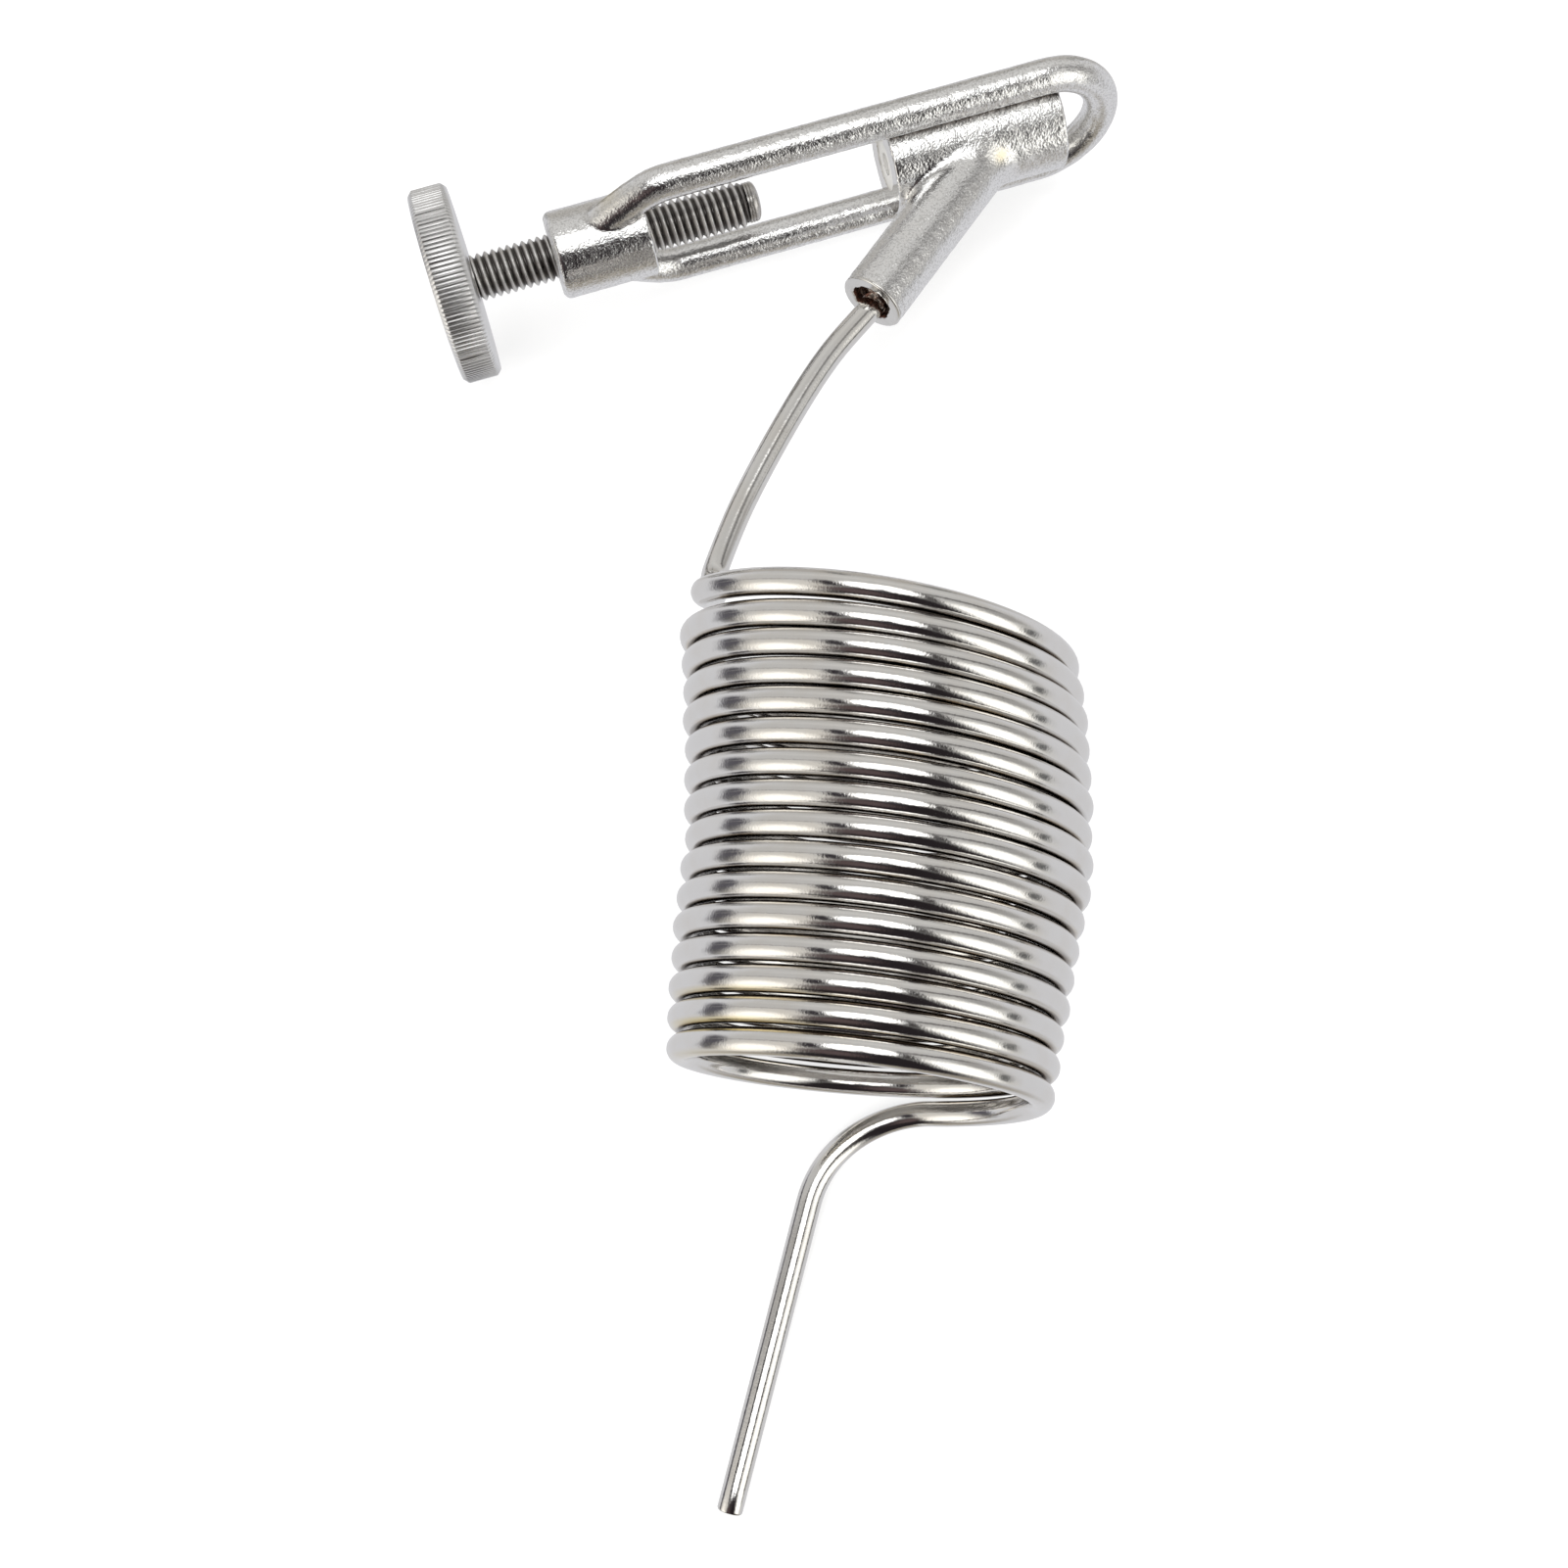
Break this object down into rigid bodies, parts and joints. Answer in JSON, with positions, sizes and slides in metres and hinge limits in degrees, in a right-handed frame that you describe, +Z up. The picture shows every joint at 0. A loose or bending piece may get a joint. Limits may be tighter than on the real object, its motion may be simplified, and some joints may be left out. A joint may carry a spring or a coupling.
{
  "type": "coiled tube with screw yoke",
  "caption": "Cast screw yoke with ported seat and side branch, brazed to a close coil of thin plated tube that ends in a straight open leg.",
  "frame": {"origin": "on the ground below the middle of the part's bounding box, as it lies on its side", "axes": "+X along the clamp screw from hand wheel to loop, +Y from the open end of the tube towards the yoke, +Z up"},
  "size_m": [0.1602, 0.2701, 0.0762],
  "materials": {
    "cast_plate": "rough cast surface with bright nickel plate, machined faces",
    "screw_steel": "dark bare steel, cut thread",
    "tip_steel": "turned steel",
    "wheel_metal": "satin, straight knurled rim",
    "seal": "plain white sealing washer",
    "braze": "dull brown filler metal with flux stain",
    "tube_plate": "polished nickel plate, brown stain between the turns"
  },
  "bodies": {
    "yoke": {"yoke_body": "cast_plate", "seat_washer": "seal", "braze_ring": "braze", "inlet_leg": "tube_plate", "coil": "tube_plate", "outlet_leg": "tube_plate"},
    "tip": {"swivel_tip": "tip_steel"},
    "screw": {"clamp_screw": "screw_steel", "hand_wheel": "wheel_metal", "wheel_pin": "screw_steel"}
  },
  "joints": [
    {"name": "screw_travel", "type": "slide", "parent": "yoke", "child": "tip", "axis": [1, 0, 0], "range_m": [-0.0235, 0.0165]},
    {"name": "wheel_spin", "type": "hinge", "parent": "tip", "child": "screw", "pos_m": [-0.0419, 0.1158, 0.0198], "axis": [1, 0, 0], "range_deg": [-5300, 3720]}
  ],
  "couplings": [
    {"joint": "screw_travel", "follows": "wheel_spin", "m_per_rad": 0.00025266}
  ]
}
